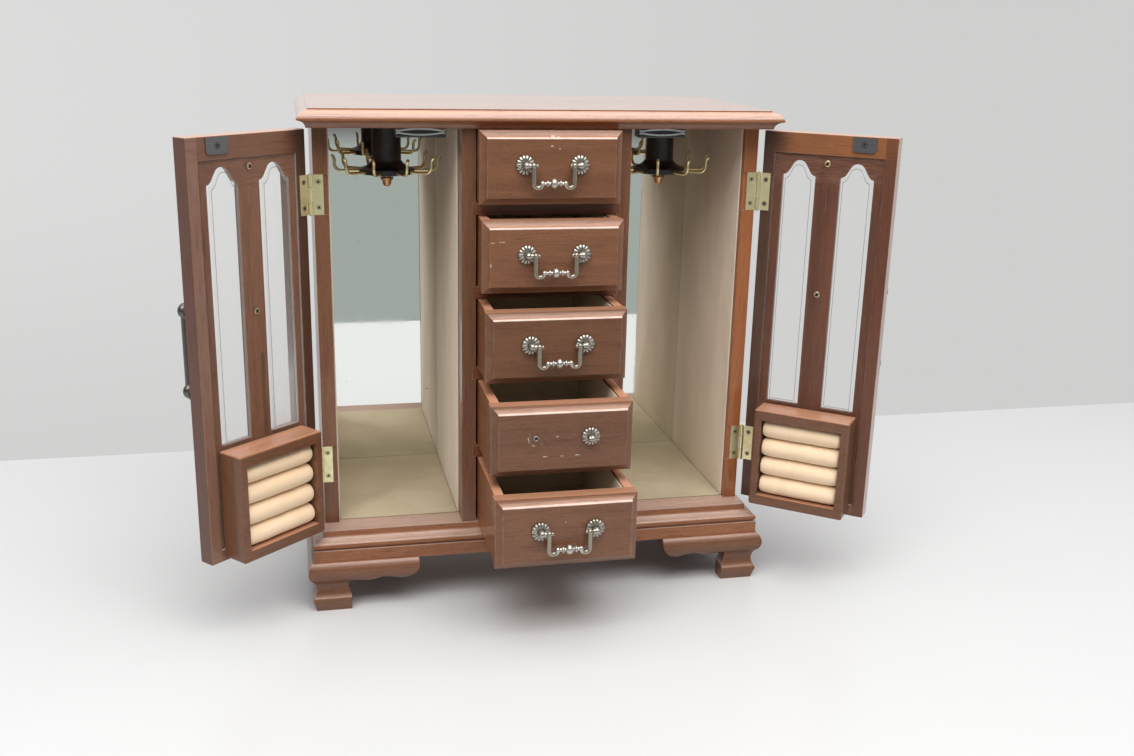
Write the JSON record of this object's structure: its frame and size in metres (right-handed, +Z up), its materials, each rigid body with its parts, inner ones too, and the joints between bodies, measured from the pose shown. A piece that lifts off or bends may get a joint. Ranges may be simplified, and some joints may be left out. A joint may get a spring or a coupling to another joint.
{
  "type": "jewelry chest",
  "caption": "Breakfront wooden jewelry chest with stacked drawers between two bays with glazed doors, ring rolls and turning necklace hooks.",
  "frame": {"origin": "on the standing surface, under the middle of the chest as it stands open", "axes": "+X to the chest's right as seen from the front, +Y to its back, +Z up"},
  "size_m": [0.5016, 0.251, 0.3617],
  "materials": {
    "mahogany": "gloss lacquer",
    "velvet_beige": "velvet",
    "velvet_tan": "velvet",
    "mirror": "silvered",
    "brass": "polished",
    "antique_pewter": "antiqued",
    "black_steel": "satin",
    "black_plastic": "gloss",
    "clear_sheet": "clear"
  },
  "bodies": {
    "case": {"back_left_foot": "mahogany", "back_panel": "mahogany", "back_right_foot": "mahogany", "base_board": "mahogany", "base_frame": "mahogany", "bay_linings": "velvet_beige", "carousel_posts": "brass", "case_hinge_leaves": "brass", "catches": "black_plastic", "drawer_dividers": "mahogany", "front_left_foot": "mahogany", "front_right_foot": "mahogany", "hinge_pins": "brass", "left_partition": "mahogany", "left_side": "mahogany", "mirrors": "mirror", "right_partition": "mahogany", "right_side": "mahogany", "top_board": "mahogany"},
    "drawer_1_bail": {"drawer_1_bail": "antique_pewter"},
    "drawer_1": {"drawer_1_box": "mahogany", "drawer_1_front": "mahogany", "drawer_1_rosettes": "antique_pewter"},
    "drawer_2_bail": {"drawer_2_bail": "antique_pewter"},
    "drawer_2": {"drawer_2_box": "mahogany", "drawer_2_front": "mahogany", "drawer_2_rosettes": "antique_pewter"},
    "drawer_3_bail": {"drawer_3_bail": "antique_pewter"},
    "drawer_3": {"drawer_3_box": "mahogany", "drawer_3_front": "mahogany", "drawer_3_rosettes": "antique_pewter"},
    "drawer_4": {"drawer_4_box": "mahogany", "drawer_4_front": "mahogany", "drawer_4_rosettes": "antique_pewter"},
    "drawer_5_bail": {"drawer_5_bail": "antique_pewter"},
    "drawer_5": {"drawer_5_box": "mahogany", "drawer_5_front": "mahogany", "drawer_5_rosettes": "antique_pewter"},
    "left_carousel": {"left_carousel_hooks": "brass", "left_carousel_hub": "black_plastic"},
    "left_door": {"left_door_clear_sheet": "clear_sheet", "left_door_frame": "mahogany", "left_door_fret_panel": "mahogany", "left_door_hinge_leaves": "brass", "left_door_pull": "antique_pewter", "left_door_ring_box": "mahogany", "left_door_ring_rolls": "velvet_tan", "left_door_strike": "black_steel"},
    "right_carousel": {"right_carousel_hooks": "brass", "right_carousel_hub": "black_plastic"},
    "right_door": {"right_door_clear_sheet": "clear_sheet", "right_door_frame": "mahogany", "right_door_fret_panel": "mahogany", "right_door_hinge_leaves": "brass", "right_door_pull": "antique_pewter", "right_door_ring_box": "mahogany", "right_door_ring_rolls": "velvet_tan", "right_door_strike": "black_steel"}
  },
  "joints": [
    {"name": "left_door_hinge", "type": "hinge", "parent": "case", "child": "left_door", "pos_m": [-0.1621, -0.0131, 0.20425], "axis": [0, 0, -1], "range_deg": [-138.5, 31.5]},
    {"name": "left_carousel_spin", "type": "hinge", "parent": "case", "child": "left_carousel", "pos_m": [-0.1051, 0.05325, 0.33], "axis": [0, 0, 1], "continuous": true},
    {"name": "right_door_hinge", "type": "hinge", "parent": "case", "child": "right_door", "pos_m": [0.1621, -0.0131, 0.20425], "axis": [0, 0, 1], "range_deg": [-141, 29]},
    {"name": "right_carousel_spin", "type": "hinge", "parent": "case", "child": "right_carousel", "pos_m": [0.1051, 0.05325, 0.33], "axis": [0, 0, 1], "continuous": true},
    {"name": "drawer_1_slide", "type": "slide", "parent": "case", "child": "drawer_1", "axis": [0, -1, 0], "range_m": [-0.0125, 0.0925]},
    {"name": "drawer_1_bail_swing", "type": "hinge", "parent": "drawer_1", "child": "drawer_1_bail", "pos_m": [0, -0.05, 0.3259], "axis": [-1, 0, 0], "range_deg": [-8, 95]},
    {"name": "drawer_2_slide", "type": "slide", "parent": "case", "child": "drawer_2", "axis": [0, -1, 0], "range_m": [-0.024, 0.081]},
    {"name": "drawer_2_bail_swing", "type": "hinge", "parent": "drawer_2", "child": "drawer_2_bail", "pos_m": [0, -0.0615, 0.2664], "axis": [-1, 0, 0], "range_deg": [-8, 95]},
    {"name": "drawer_3_slide", "type": "slide", "parent": "case", "child": "drawer_3", "axis": [0, -1, 0], "range_m": [-0.0415, 0.0635]},
    {"name": "drawer_3_bail_swing", "type": "hinge", "parent": "drawer_3", "child": "drawer_3_bail", "pos_m": [0, -0.079, 0.2069], "axis": [-1, 0, 0], "range_deg": [-8, 95]},
    {"name": "drawer_4_slide", "type": "slide", "parent": "case", "child": "drawer_4", "axis": [0, -1, 0], "range_m": [-0.065, 0.04]},
    {"name": "drawer_5_slide", "type": "slide", "parent": "case", "child": "drawer_5", "axis": [0, -1, 0], "range_m": [-0.085, 0.02]},
    {"name": "drawer_5_bail_swing", "type": "hinge", "parent": "drawer_5", "child": "drawer_5_bail", "pos_m": [0, -0.1225, 0.0879], "axis": [-1, 0, 0], "range_deg": [-8, 95]}
  ]
}
